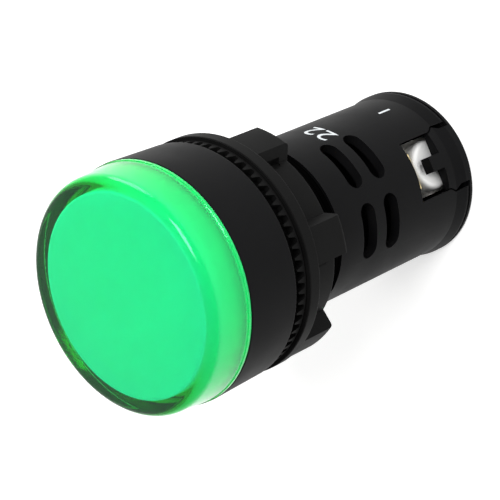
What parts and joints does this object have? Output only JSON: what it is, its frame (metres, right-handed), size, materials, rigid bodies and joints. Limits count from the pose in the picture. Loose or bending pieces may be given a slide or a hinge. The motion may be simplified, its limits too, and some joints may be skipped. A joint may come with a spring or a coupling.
{
  "type": "panel pilot light",
  "caption": "Round green LED pilot light for a 22 mm panel hole, with threaded neck, crown-toothed washer, lugged lock nut, vented barrel and push-on rear cover over screw terminals.",
  "frame": {"origin": "centre of the face under the head that the panel bears against", "axes": "+Z runs along the lamp towards the lens, -Y is the side with terminal a and +Y the side with terminal b, X completes the right-handed frame"},
  "size_m": [0.0286, 0.0286, 0.051],
  "materials": {
    "green_lens": "clear polycarbonate tinted green, polished",
    "white_diffuser": "milky translucent polycarbonate",
    "black_plastic": "satin black moulding with a fine spark texture",
    "black_rubber": "matt black nitrile rubber",
    "terminal_brass": "stamped brass",
    "plated_steel": "bright nickel plating",
    "board_white": "white solder mask",
    "led_white": "white package with a clear window",
    "board_green": "green solder mask",
    "capacitor_red": "dipped epoxy",
    "capacitor_blue": "shrink sleeve",
    "black_epoxy": "moulded epoxy",
    "resistor_tan": "lacquer",
    "wire_red": "PVC insulation"
  },
  "bodies": {
    "lamp": {"lens": "green_lens", "diffuser": "white_diffuser", "housing": "black_plastic", "panel_gasket": "black_rubber", "terminal_block": "black_plastic", "terminal_plate_a": "terminal_brass", "terminal_plate_b": "terminal_brass", "led_board": "board_white", "led_chips": "led_white", "board_pins": "terminal_brass", "power_board": "board_green", "film_capacitor": "capacitor_red", "smoothing_capacitor": "capacitor_blue", "bridge_rectifier": "black_epoxy", "resistors": "resistor_tan", "lead_a": "wire_red", "lead_b": "wire_red"},
    "washer": {"toothed_washer": "black_plastic"},
    "nut": {"lock_nut": "black_plastic"},
    "cover": {"rear_cover": "black_plastic"},
    "clamp_a": {"clamp_washer_a": "plated_steel"},
    "screw_a": {"terminal_screw_a": "plated_steel"},
    "clamp_b": {"clamp_washer_b": "plated_steel"},
    "screw_b": {"terminal_screw_b": "plated_steel"}
  },
  "joints": [
    {"name": "washer_slide", "type": "slide", "parent": "lamp", "child": "washer", "axis": [0, 0, -1], "range_m": [0, 0.007]},
    {"name": "nut_turn", "type": "hinge", "parent": "washer", "child": "nut", "pos_m": [0, 0, -0.0057], "axis": [0, 0, -1], "range_deg": [0, 1681]},
    {"name": "cover_slide", "type": "slide", "parent": "lamp", "child": "cover", "axis": [0, 0, -1], "range_m": [0, 0.01]},
    {"name": "clamp_a_slide", "type": "slide", "parent": "lamp", "child": "clamp_a", "axis": [0, 1, 0], "range_m": [0, 0.0018]},
    {"name": "screw_a_turn", "type": "hinge", "parent": "clamp_a", "child": "screw_a", "pos_m": [0, -0.0065, -0.0335], "axis": [0, 1, 0], "range_deg": [0, 1297]},
    {"name": "clamp_b_slide", "type": "slide", "parent": "lamp", "child": "clamp_b", "axis": [0, -1, 0], "range_m": [0, 0.0018]},
    {"name": "screw_b_turn", "type": "hinge", "parent": "clamp_b", "child": "screw_b", "pos_m": [0, 0.0065, -0.0335], "axis": [0, -1, 0], "range_deg": [0, 1297]}
  ],
  "couplings": [
    {"joint": "nut_turn", "follows": "washer_slide", "rad_per_m": 4188.8},
    {"joint": "screw_a_turn", "follows": "clamp_a_slide", "rad_per_m": 12566},
    {"joint": "screw_b_turn", "follows": "clamp_b_slide", "rad_per_m": 12566}
  ]
}
